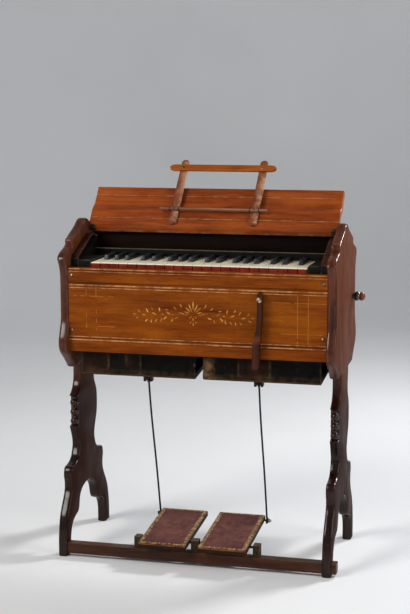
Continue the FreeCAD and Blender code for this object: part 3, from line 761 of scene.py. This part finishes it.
PANEL_SCREWS = ((-310.5, 700.0), (-310.5, 565.0), (310.5, 697.0), (310.5, 566.5))
SCREW_HEAD = ((0, 4.6), (0.9, 4.5), (2.4, 3.8), (3.4, 2.5), (3.9, 1.0), (4.0, 0))
SCREW_SLOT = ((-3.4, -0.5), (3.4, -0.5), (3.4, 0.5), (-3.4, 0.5))
LEVER_SCREW = ((0, 3), (23.2, 3), (23.2, 6.4), (24.6, 6.6), (26.0, 6.3), (26.3, 5.4), (25.6, 4.6), (25.2, 3.4),
               (25.9, 2.4), (26.2, 0))


def fasteners():
    """Four domed, slotted screws in the panel, and the cupped screw that the knee lever hangs on."""
    made = bmesh.new()
    slots = bmesh.new()
    for i, (x, z) in enumerate(PANEL_SCREWS):
        turned(made, SCREW_HEAD, at(x, 46, z), (0, -1, 0), 24)
        a = 0.5 + i * 0.9
        c, s = cos(a), sin(a)
        box_of(slots, [at(x + c * u - s * v, y, z + s * u + c * v)
                       for y in (43.2, 41.96) for u, v in SCREW_SLOT])
    turned(made, LEVER_SCREW, at(162, 46.5, 658), (0, -1, 0), 28)
    bmesh.ops.recalc_face_normals(slots, faces=slots.faces)
    piece("panel_screws", made, "screw", "case", "case_fasteners")
    piece("panel_screw_slots", slots, "iron", "case", None)


# Lid and music rack

RACK_SLOPE = atan2(32.0, 26.0)
RACK_LEAN = radians(1.55)
LEDGE_S = 40.0
RACK_REACH = 126.5
RACK_FEET = (-98.5, 106.5)


def rack_at(x, s, out):
    """A place in the rack's plane: s up the uprights, out towards the player."""
    c, k = cos(RACK_SLOPE), sin(RACK_SLOPE)
    return at(x, 200 + c * s - k * out, 812 + k * s + c * out)


RACK_OUT = Vector((0, -sin(RACK_SLOPE), cos(RACK_SLOPE)))


def lid():
    """The moulded lid with its pins, and the fixed ledge of the music rack."""
    face = [(207.6, 791.9), (205.2, 794.8), (202.6, 799.6), (200.7, 805.5)]
    face += grooved((200, 812), (226, 844), (17.0, 21.6))
    face += [(231, 848.8), (237, 852.4), (242, 854.9)]
    face += grooved((247, 857), (279.2, 897), (25.8, 30.4))
    face += [(280.4, 898), (282, 897.5), (291.5, 892), (293.2, 889.6), (293.6, 887.2), (262, 847), (250, 843),
             (238, 836), (222, 812), (219.2, 795), (218.2, 793.9)]
    made = bmesh.new()
    moulding(made, face, (-318.5, 318.5), 0.8)
    # The beads by the grooves and the lower edge are lightened through the wear mark: partly rubbed arrises,
    # partly a painted highlight.
    lines = [at(0, 0, z).z for z in (827.0, 879.0)]
    foot = at(0, 0, 795.5).z
    set_wear(made, lambda co: 1.0 if min(abs(co.z - z) for z in lines) < 1.7 * MM or co.z < foot else 0.0)
    for x in (-318.5, 318.5):
        turned(made, [(0, 4), (10, 4), (10.5, 3.5)], at(x, 212, 812), (1 if x > 0 else -1, 0, 0), 20)
    piece("lid_moulded", made, "lid", "lid", "lid")
    made = bmesh.new()
    bar(made, (-136, 139.5), (37.5, 42.5), (7.8, 16.8), 2.5)
    for x in RACK_FEET:
        turned(made, [(0, 2), (8, 2)], rack_at(x, LEDGE_S, 0), RACK_OUT, 14)
    piece("rack_ledge", made, "ledge", "lid", None)
    lid_metal()


def lid_metal():
    """A dark plate with two screws on each lower corner of the lid, and the clips on the ledge."""
    def on_foot(x, z, out):
        return at(x, 200 + 7 * max(0.0, (812 - z) / 20) ** 1.6 - out, z)

    made = bmesh.new()
    for side in (-1, 1):
        x = side * 309.0
        outline = [(x + dx, z) for dx, z in ((-8.5, 794), (8.5, 794), (8.5, 806), (5, 811),
                                             (-5, 811), (-8.5, 806))]
        thick_outline(made, outline, [(-0.6, 0.0), (0.9, 0.0), (1.3, 0.5)], on_foot)
        for dx, z in ((-4, 798.5), (4, 800.5), (0, 806.5)):
            head = [(0, 2.2), (0.5, 2.1), (0.9, 1.3), (1.0, 0)]
            turned(made, head, on_foot(x + dx, z, 1.2), (0, -1, -0.2), 14)
    piece("lid_plates", made, "bracket", "lid", None)
    made = bmesh.new()
    for x in RACK_FEET:
        turned(made, [(0, 2.4), (0.4, 2.2), (0.9, 0)], rack_at(x, LEDGE_S, 16.7), RACK_OUT, 16)
        for dx in (-11.5, 11.5):
            left, right = x + dx - 1, x + dx + 1
            low, high = LEDGE_S - 3.6, LEDGE_S + 5.5
            clip = [(left, low), (right, low), (right, high), (left, high)]
            thick_outline(made, clip, [(7.6, 0.0), (17.6, 0.0), (18.1, 0.4)], rack_at)
    wire = rack_at(RACK_FEET[1] - 13.5, LEDGE_S + 1, 12)
    turned(made, [(0, 1.3), (10, 1.2), (12, 0.6)], wire, (0, 0, 1), 12)
    piece("ledge_clips", made, "bracket", "lid", None)


def bar(made, x, s, out, tip, lean=0.0, about=(0, 0), ease=1.0):
    """A bar of the rack with rounded ends, turned by lean about a point of the rack's plane.
    tip is how far each end's curve reaches along it."""
    wide, high = x[1] - x[0], s[1] - s[0]
    along_x = wide > high
    half = min(wide, high) / 2
    length = max(wide, high)
    ends = []
    for sign in (1, -1):
        for i in range(13):
            a = radians(-90 + 15 * i)
            ends.append((sign * (length / 2 - tip + tip * cos(a)), sign * half * sin(a)))
    middle = ((x[0] + x[1]) / 2, (s[0] + s[1]) / 2)
    outline = []
    for a, b in ends:
        px, ps = (middle[0] + a, middle[1] + b) if along_x else (middle[0] - b, middle[1] + a)
        dx, ds = px - about[0], ps - about[1]
        outline.append((about[0] + dx * cos(lean) + ds * sin(lean), about[1] - dx * sin(lean) + ds * cos(lean)))
    if signed_area(outline) < 0:
        outline.reverse()
    stations = [(out[0], ease), (out[0] + ease * 0.3, ease * 0.3), (out[0] + ease, 0), (out[1] - ease, 0),
                (out[1] - ease * 0.3, ease * 0.3), (out[1], ease)]
    thick_outline(made, outline, stations, rack_at)


def rack():
    """Two leaning uprights and the bar over them, with its two screws."""
    for side, x in zip(("left", "right"), RACK_FEET):
        made = bmesh.new()
        bar(made, (x - 10, x + 10), (0, 195), (0.4, 7.4), 10, RACK_LEAN, (x, LEDGE_S), 1.2)
        node = "rack_upright_" + side
        right = rack_at(x, LEDGE_S, 0).x + 8 * MM
        set_wear(made, lambda co: 0.9 if co.x - (co.z - 0.84) * 0.03 > right else 0.0)
        piece(node + "_shaped", made, "upright", node, node)
    middle = LEDGE_S + RACK_REACH * cos(RACK_LEAN)
    made = bmesh.new()
    bar(made, (-131, 145.5), (middle - 9, middle + 9), (7.8, 14.8), 15, ease=1.6)
    tops = [x + RACK_REACH * sin(RACK_LEAN) for x in RACK_FEET]
    for x in tops:
        turned(made, [(0, 2), (8, 2)], rack_at(x, middle, 0.4), RACK_OUT, 14)
    piece("rack_top_bar_shaped", made, "rack", "rack_top_bar", "rack_top_bar")
    made = bmesh.new()
    for x in tops:
        turned(made, [(0, 4.2), (0.5, 4.0), (1.1, 2.6), (1.4, 0)], rack_at(x, middle, 14.7), RACK_OUT, 18)
    piece("rack_screws", made, "screw", "rack_top_bar", None)


# Keys

# The cover's edge down to the lever's side, as (distance down, inset)
KEY_EDGE = ((0, 1.0), (0.3, 0.35), (0.9, 0.05), (2.2, 0.05), (2.5, 0.3), (2.5, 0.75))
KEY_COVER_END = 203
SHARP_HEIGHT = 13.2


def natural_key(node):
    """A pine lever with a thin cream plate that overhangs its red front."""
    low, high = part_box(node)
    outline = outline_at(node, 2, high.z)
    stations = [(high.z - down * MM, inset * MM) for down, inset in KEY_EDGE]
    stations += [(low.z + 0.5 * MM, 0.75 * MM), (low.z, 1.3 * MM)]
    made = bmesh.new()
    thick_outline(made, outline, stations, lambda x, y, through: Vector((x, y, through)))
    covered = at(0, KEY_COVER_END, 0)
    bmesh.ops.bisect_plane(made, geom=made.verts[:] + made.edges[:] + made.faces[:], plane_co=covered,
                           plane_no=(0, 1, 0))

    def choose(face, middle):
        if middle.z >= high.z - 2.4 * MM and middle.y <= covered.y:
            return 0
        return 1 if middle.y < low.y + 2 * MM else 2

    mark(made, choose)
    piece(node + "_made", made, "cream red pine", node, node)


def sharp_key(node):
    """A black block on a pine lever."""
    low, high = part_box(node)
    made = welded(node)
    soften(made, 1.3, 4)
    mark(made, lambda face, middle: int(middle.z < high.z - SHARP_HEIGHT * MM))
    piece(node + "_made", made, "sharp pine", node, node)


def keys():
    for node in sorted(NODES):
        if node.startswith("key_"):
            make = sharp_key if node.endswith("_sharp") else natural_key
            make(node)


# Case

SIDE_BLOCK_X = 300.5
NAMEBOARD_RIM = 749.5
RAIL_TOP = 34.2


def case_parts():
    # The case boards take the near-black wood: painted shade.
    dressed("case_boards", "case", 1.4, 3)
    keyboard_surround()
    dressed("action_and_reeds", "pine", 0.6, 2)
    pedal_rail()


def keyboard_surround():
    """Black boards round the keys; the side blocks are browner, and their slopes are dark brown, painted shade
    of the cheek beside them.
    """
    made = welded("keyboard_surround")
    soften(made, 1.2)
    left, right = (at(x, 0, 0).x for x in (-SIDE_BLOCK_X, SIDE_BLOCK_X))
    rim = at(0, 0, NAMEBOARD_RIM).z

    def choose(face, middle):
        if left <= middle.x <= right:
            return 2 if middle.z > rim else 0
        # Sloping tops of the side blocks: dark brown, painted shade.
        return 3 if face.normal.z > 0.5 and face.normal.y < -0.2 else 1

    mark(made, choose)
    piece("keyboard_surround_dressed", made, "black block olive lever", "case",
          "keyboard_surround")


def pedal_rail():
    """The stretcher, its left end just clear of the foot's face, with its cleats."""
    made = welded("pedal_rail")
    flush = at(-342, 0, 0).x
    for vertex in made.verts:
        if abs(vertex.co.x - flush) < 0.01 * MM:
            vertex.co.x -= 0.3 * MM
    soften(made, 2.2, 4)
    top = at(0, 0, RAIL_TOP).z
    mark(made, lambda face, middle: int(middle.z > top))
    piece("pedal_rail_dressed", made, "rail cleat", "case", "pedal_rail")


def knee_lever():
    """A flat shaped lever, worn at its knuckle."""
    node = "knee_swell_lever"
    low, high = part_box(node)
    outline = outline_at(node, 1, low.y)
    edge = [(0.0, 2.6), (0.4, 1.5), (1.3, 0.6), (2.8, 0.1), (4.4, 0.0)]
    stations = edge + [(20 - t, inset) for t, inset in reversed(edge)]
    made = bmesh.new()
    thick_outline(made, outline, [(t * MM, i * MM) for t, i in stations],
                  lambda x, z, through: Vector((x, low.y + through, z)))
    knuckle = at(0, 0, 562).z
    set_wear(made, lambda co: max(0.0, 1 - abs(co.z - knuckle) / (10 * MM)))
    piece("knee_lever_shaped", made, "lever", node, node)


KNOB_COLLAR = ((0, 5), (43.4, 5), (44, 7.6), (45.4, 8.6), (46.6, 8.2), (47.4, 8.6), (48.6, 10.4),
               (50.6, 11.7), (53, 12), (55.4, 11.7), (57.6, 10.7), (59.4, 9.2), (61, 8.2), (62, 7))


def knob():
    """A black turned collar on the shank, with a round brown end."""
    made = bmesh.new()
    turned(made, KNOB_COLLAR, at(300, 285, 636), (1, 0, 0), 40)
    piece("knob_collar", made, "ferrule", "stop_knob", "stop_knob")
    made = bmesh.new()
    profile = [(0, 6.4)]
    for i in range(15):
        a = radians(-52 + 142 * i / 14)
        profile.append((6.6 + 8.4 * sin(a), 11.4 * cos(a)))
    turned(made, profile, at(359, 285, 636), (1, 0, 0), 40)
    piece("knob_end", made, "knob", "stop_knob", None)


# Bellows

FEEDER_TILT = radians(6.84)
FEEDER_HINGE = (300.0, 497.0)
FEEDER_SPANS = {"left": (-290.0, -2.0), "right": (18.0, 306.0)}
ROD_X = {"left": -133.5, "right": 145.5}


def feeder_board(side):
    """A feeder's lower board, with the iron bracket for its rod."""
    node = "feeder_" + side
    made = welded(node)
    soften(made, 1.6)
    hinge, bracket = at(0, *FEEDER_HINGE), at(ROD_X[side], 0, 0).x
    above = Vector((0, -sin(FEEDER_TILT), cos(FEEDER_TILT)))

    def choose(face, middle):
        under = max((v.co - hinge).dot(above) for v in face.verts) < -12.2 * MM
        return int(under and abs(middle.x - bracket) < 12 * MM)

    mark(made, choose)
    piece(node + "_dressed", made, "feeder iron", node, node)


CASE_FLOOR = 511.7
FEEDER_EDGE = (300, 497.4)    # where the leather meets the board at the hinge
GUSSET_REACH = 252.6
SEAMS = {"left": (-222.0, -176.0, -140.0), "right": (46.0, 105.0, 182.0)}
BROWN = {"left": ((-300, -222, 1.0), (-176, -140, 0.7)), "right": ((10, 46, 0.9), (105, 182, 0.8))}


def brownness(side, x):
    return max(share * smooth(x, low) * smooth(-x, -high) for low, high, share in BROWN[side])


def scuffing(side, x, f):
    """How rubbed the leather is: along its seams, at its lower edge and at one crumpled corner."""
    seam = max(exp(-((x - seam) / 2.2) ** 2) for seam in SEAMS[side])
    corner = exp(-((x - FEEDER_SPANS[side][0] - 12) / 14) ** 2) if side == "right" else 0.0
    return min(1.0, 0.35 * seam + 0.15 * max(0.0, f - 0.86) / 0.14 + 0.8 * corner)


def smooth(x, edge):
    return min(1.0, max(0.0, (x - edge) / 4 + 0.5))


def gusset_path(low, high):
    """The leather's way round a feeder board, as (X, distance from the hinge, outward X, outward Y)."""
    path = [(low, a, 1, 0) for a in spread(6, GUSSET_REACH, 40)[:-1]]
    path += [(x, GUSSET_REACH, 0, 1) for x in spread(low, high, 110)]
    return path + [(high, a, -1, 0) for a in spread(GUSSET_REACH, 6, 40)[1:]]


def fold_depth(side, x, a, row, front, gap):
    """How far the leather folds in at a point, in millimetres. Rows past 1 lie under the board."""
    seed, f = 5 if side == "left" else 9, min(row, 1.0)
    spot = Vector((x * 0.03, a * 0.03, f * 1.2 + seed))
    crease = wave(*spot) * 2.4 + wave(*spot * 2.7) * 1.3
    if front:
        crease += 2.2 * wave(x * 0.11, f * 0.8, seed * 2.0)
        crease += 1.6 * wave(x * 0.06 + f * 2.5, f * 3.0, seed * 3.0)
        crease -= 1.6 * sum(exp(-((x - seam) / 1.8) ** 2) for seam in SEAMS[side])
    deep = (gap * (0.07 if front else 0.28) + crease) * sin(pi * f)
    return max(deep, -1.2) + 0.5 * wave(x * 0.09, a * 0.09, row * 2)


def gusset(side):
    """The leather from the case floor down over the edge of a feeder board, creased and patched."""
    low, high = FEEDER_SPANS[side]
    low, high = low - 0.7, high + 0.7
    c, s = cos(FEEDER_TILT), sin(FEEDER_TILT)
    path = gusset_path(low, high)
    made = bmesh.new()
    share = made.verts.layers.float.new("share")
    brown = made.verts.layers.float.new("brown")
    scuff = made.verts.layers.float.new("wear_and_highlight")
    rows = []
    for row in [i / 12 for i in range(13)] + [1.25, 1.5, 1.75, 2.0]:
        f, under = min(row, 1.0), max(0.0, row - 1) * 9.5
        line = []
        for x, a, dx, dy in path:
            y, bottom = FEEDER_EDGE[0] - a * c, FEEDER_EDGE[1] - a * s
            deep = fold_depth(side, x, a, row, dy, CASE_FLOOR - bottom)
            z = CASE_FLOOR + (bottom - CASE_FLOOR) * f - c * under
            vertex = made.verts.new(at(x + dx * deep, y + dy * deep + s * under, z))
            vertex[share] = f
            vertex[brown] = brownness(side, x)
            vertex[scuff] = scuffing(side, x, f) if dy else 0.0
            line.append(vertex)
        rows.append(line)
    lattice(made, rows)
    area = sum(face.calc_area() for face in made.faces)
    leather_piece = piece("gusset_" + side, made, "leather", None)
    thicken(leather_piece, 0.8)
    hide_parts("feeder_cloths")
    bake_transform(leather_piece)


def wave(x, y, z):
    """Smooth noise at a point, the same each run."""
    return noise.noise(Vector((x, y, z)))


def spread(start, end, count):
    return [start + (end - start) * i / (count - 1) for i in range(count)]


def thicken(made, thickness):
    """Gives a sheet its thickness, in millimetres, on its inner side."""
    modifier = made.modifiers.new("thickness", "SOLIDIFY")
    modifier.thickness = thickness * MM
    modifier.offset = -1.0


# Treadles and rods

PEDAL_LENGTH = 226.0
PEDAL_TILT = radians(5.8)
PEDAL_SPANS = {"left": (-128.0, -10.0), "right": (22.0, 140.0)}
PEDAL_PINS = {"left": (-142.0, 4.0), "right": (8.0, 162.0)}
ROD_EYE = (193.0, 70.0)
ROD_HANGER = (97.0, 444.0)


def pedal_at(x, along, out):
    """A place on a treadle: along it from its front edge, and out of its upper face."""
    c, s = cos(PEDAL_TILT), sin(PEDAL_TILT)
    return at(x, -26 + along * c - out * s, 59 + along * s + out * c)


def pedal(side):
    """A treadle: its board and pins, then the carpet with its trim and nails."""
    node = "pedal_" + side
    low, high = PEDAL_SPANS[side]
    made = bmesh.new()
    outline = [(low, 0.0), (high, 0.0), (high, PEDAL_LENGTH), (low, PEDAL_LENGTH)]
    stations = [(-14, 1.8), (-13.4, 0.7), (-12.2, 0), (-3.4, 0), (-2.1, 0.8), (-1.5, 2.2)]
    thick_outline(made, outline, stations, pedal_at)
    corners = [e for e in made.edges if abs(e.verts[0].co.x - e.verts[1].co.x) < 1e-6
               and e.calc_length() < 12 * MM]
    bmesh.ops.bevel(made, geom=corners, offset=1.2 * MM, segments=2, affect="EDGES", clamp_overlap=True)
    brow, crest = at(0, -22, 0).y, pedal_at(0, 0, -2.8).z
    set_wear(made, lambda co: 1.0 if co.y < brow and co.z > crest else 0.0)
    board = piece(node + "_board", made, "tread", node, node)
    made = bmesh.new()
    for x, end in zip((low, high), PEDAL_PINS[side]):
        reach = abs(end - x)
        way = (copysign(1, end - x), 0, 0)
        turned(made, [(-4, 3), (reach - 0.5, 3), (reach, 2.5)], at(x, 18, 56), way, 18)
    out, edge = (-1, low) if side == "left" else (1, high)
    turned(made, [(-4, 2.2), (9.5, 2.2), (9.6, 4.4), (10.4, 5.0), (11.8, 5.0), (12.5, 4.2)],
           at(edge, *ROD_EYE), (out, 0, 0), 20)
    piece(node + "_pins", made, "iron", node, None)
    rug, area = carpet_sheet(node, low, high)
    held = trim(node, low, high), nails(side, node, low, high)


def carpet_sheet(node, low, high):
    """The carpet, a little uneven, with ragged sides. Its area is returned too."""
    low, high = low + 0.5, high - 0.5
    made = bmesh.new()
    rows = []
    for along in spread(3, 224, 46):
        row = []
        for x in spread(low, high, 26):
            ragged = wave(x * 0.12, along * 0.12, 3.0)
            px = x + (ragged if x in (low, high) else 0)
            lift = 0.35 * wave(x * 0.05, along * 0.05, 8.0) + 0.2 * ragged
            row.append(made.verts.new(pedal_at(px, along, 0.35 + lift)))
        rows.append(row)
    for near, far in zip(rows, rows[1:]):
        for i in range(len(near) - 1):
            made.faces.new((near[i], near[i + 1], far[i + 1], far[i]))
    soles = [at(0, y, 0).y for y in (40, 110)]
    set_wear(made, lambda co: 0.25 + 0.6 * max(0.0, 1 - min(abs(co.y - y) for y in soles) / 0.05))
    area = sum(face.calc_area() for face in made.faces)
    rug = piece(node + "_carpet", made, "carpet", node, None)
    thicken(rug, 1.7)
    return rug, area


def trim(node, low, high):
    """The frayed tan strip round the carpet's edges."""
    made = bmesh.new()
    trim_strip(made, [(low + 5, a) for a in spread(222, 5, 64)], 9)
    trim_strip(made, [(high - 5.5, a) for a in spread(5, 222, 64)], 10.5)
    trim_strip(made, [(x, 5.5) for x in spread(low + 2, high - 2, 36)], 8)
    trim_strip(made, [(x, 220.5) for x in spread(high - 2, low + 2, 36)], 6.5)
    strips = piece(node + "_trim", made, "gimp", node, None)
    thicken(strips, 0.8)
    return strips


def nails(side, node, low, high):
    """Domed nails through the trim, set by hand and so a little out of line."""
    chance = random.Random(side)

    def off(most):
        return chance.uniform(-most, most)

    places = [(low + 5 + off(1), a + off(2)) for a in spread(9, 218, 18)]
    places += [(high - 5.5 + off(1.6), a + off(3)) for a in spread(9, 218, 18)]
    places += [(x, 5.5 + off(0.8)) for x in spread(low + 16, high - 16, 8)]
    places += [(x, 220 + off(0.8)) for x in spread(low + 18, high - 18, 6)]
    up = (pedal_at(0, 0, 10) - pedal_at(0, 0, 0)).normalized()
    made = bmesh.new()
    for x, along in places:
        turned(made, [(0, 2.0), (0.6, 1.8), (1.1, 1.1), (1.3, 0)], pedal_at(x, along, 1.5), up, 12)
    return piece(node + "_nails", made, "brass", node, None)


def trim_strip(made, path, width):
    """A narrow strip with ragged edges along a run of (X, along) points."""
    rows = []
    for i, (x, along) in enumerate(path):
        ahead = path[min(i + 1, len(path) - 1)]
        back = path[max(i - 1, 0)]
        way = Vector((ahead[0] - back[0], ahead[1] - back[1])).normalized()
        across = Vector((-way.y, way.x))
        row = []
        for k in range(4):
            side = k in (0, 3)
            ragged = wave(x * 0.2, along * 0.2, k * 3.0) * (1.6 if side else 0.5)
            place = Vector((x, along)) + across * ((k / 3 - 0.5) * width + ragged)
            uneven = 0.35 * wave(place.x * 0.3, place.y * 0.3, 2.0)
            row.append(made.verts.new(pedal_at(place.x, place.y, 1.25 + uneven - (0.5 if side else 0))))
        rows.append(row)
    up = pedal_at(0, 0, 10) - pedal_at(0, 0, 0)
    for face in lattice(made, rows):
        face.normal_update()
        if face.normal.dot(up) < 0:
            face.normal_flip()


def pump_rod(side):
    """A bent iron wire with an eye at each end."""
    node = "pump_rod_" + side
    low, high = Vector(ROD_EYE), Vector(ROD_HANGER)
    way = (high - low).normalized()
    across = Vector((-way.y, way.x))

    def eye(centre, radius, start):
        angles = [radians(start + 330 * i / 24) for i in range(25)]
        return [(0.0, centre + (way * cos(a) + across * sin(a)) * radius) for a in angles]

    points = eye(low, 6.5, 30)
    for i in range(1, 40):
        t = i / 40
        along = 6.5 + ((high - low).length - 15.5) * t
        bow = 1.1 * sin(pi * t) + 0.5 * sin(3 * pi * t)
        points.append((0.7 * sin(2 * pi * t), low + way * along + across * bow))
    points += eye(high, 9.0, 180)
    made = bmesh.new()
    tube(made, [at(ROD_X[side] + dx, p.x, p.y) for dx, p in points], 2.4, 14)
    piece(node + "_bent", made, "iron", node, node)
    if side == "right":
        made = bmesh.new()
        angles = [radians(a) for a in range(0, 181, 15)]
        profile = [(4.8 - 4.8 * cos(a), 5.4 * sin(a)) for a in angles]
        turned(made, profile, at(147.2, *ROD_EYE), (1, 0, 0), 20)
        piece("rod_nut_right", made, "nut", "pedal_right", None)


# Run

def camera():
    yaw, pitch, roll = CAMERA_YAW, CAMERA_PITCH, CAMERA_ROLL
    flat = cos(pitch)
    forward = Vector((-sin(yaw) * flat, cos(yaw) * flat, sin(pitch)))
    level = Vector((cos(yaw), sin(yaw), 0))
    above = level.cross(forward)
    right = level * cos(roll) + above * sin(roll)
    up = above * cos(roll) - level * sin(roll)
    data = bpy.data.cameras.new("camera")
    data.sensor_width = SENSOR
    data.lens = FOCAL_PIXELS / max(PHOTO_SIZE) * SENSOR
    data.clip_end = 50
    made = bpy.data.objects.new("camera", data)
    turn = Matrix((right, up, -forward)).transposed().to_4x4()
    made.matrix_world = Matrix.Translation(at(*CAMERA_PLACE)) @ turn
    bpy.context.scene.collection.objects.link(made)
    bpy.context.scene.camera = made


def lamp(name, place, target, size, power, colour=(1, 1, 1)):
    data = bpy.data.lights.new(name, "AREA")
    data.shape = "RECTANGLE"
    data.size, data.size_y = size
    data.energy = power
    data.color = colour
    made = bpy.data.objects.new(name, data)
    made.location = place
    made.rotation_euler = (Vector(target) - Vector(place)).to_track_quat("-Z", "Y").to_euler()
    bpy.context.scene.collection.objects.link(made)


def studio():
    """A pale round floor that curves up into a wall, three soft lamps and a dim pale world."""
    made = bmesh.new()
    profile = [(3.2, 0.0), (3.4, 0.0)]
    for i in range(1, 13):
        angle = pi / 2 * i / 12
        profile.append((3.4 + 1.8 * sin(angle), 1.8 * (1 - cos(angle))))
    profile.append((5.2, 6.0))
    rows = bridge(made, [[Vector((radius * cos(a), radius * sin(a), z)) for a in full_turn(72)]
                         for radius, z in profile])
    made.faces.new(rows[0])
    bmesh.ops.recalc_face_normals(made, faces=made.faces)
    paint = Paint("backdrop", roughness=0.85, specular=0.2)
    cloud = paint.noise(0.8, detail=3)
    colour = paint.ramp(cloud, (0.3, (228, 229, 231)), (0.7, (235, 236, 238)))
    MATERIALS["backdrop"] = paint.done(colour)
    piece("backdrop", made, "backdrop", None)
    world = bpy.data.worlds.new("world")
    world.use_nodes = True
    background = world.node_tree.nodes["Background"].inputs
    background["Color"].default_value = (0.9, 0.95, 1.0, 1)
    background["Strength"].default_value = 0.25
    bpy.context.scene.world = world
    lamp("key", (-2.0, -2.6, 2.6), (0, 0, 0.6), (1.4, 1.4), 84, (1.0, 0.96, 0.9))
    lamp("side", (2.6, -0.9, 1.5), (0, 0, 0.6), (0.9, 1.8), 26)
    lamp("back", (1.4, 1.6, 1.9), (0.2, 0, 0.6), (0.5, 0.5), 46)


MATERIALS = make_materials()
camera()
studio()
for side in ("left", "right"):
    end_board(side)
    feeder_board(side)
    gusset(side)
    pedal(side)
    pump_rod(side)
front_panel()
fasteners()
lid()
rack()
keys()
case_parts()
knee_lever()
knob()

bpy.context.scene.view_settings.view_transform = "Standard"
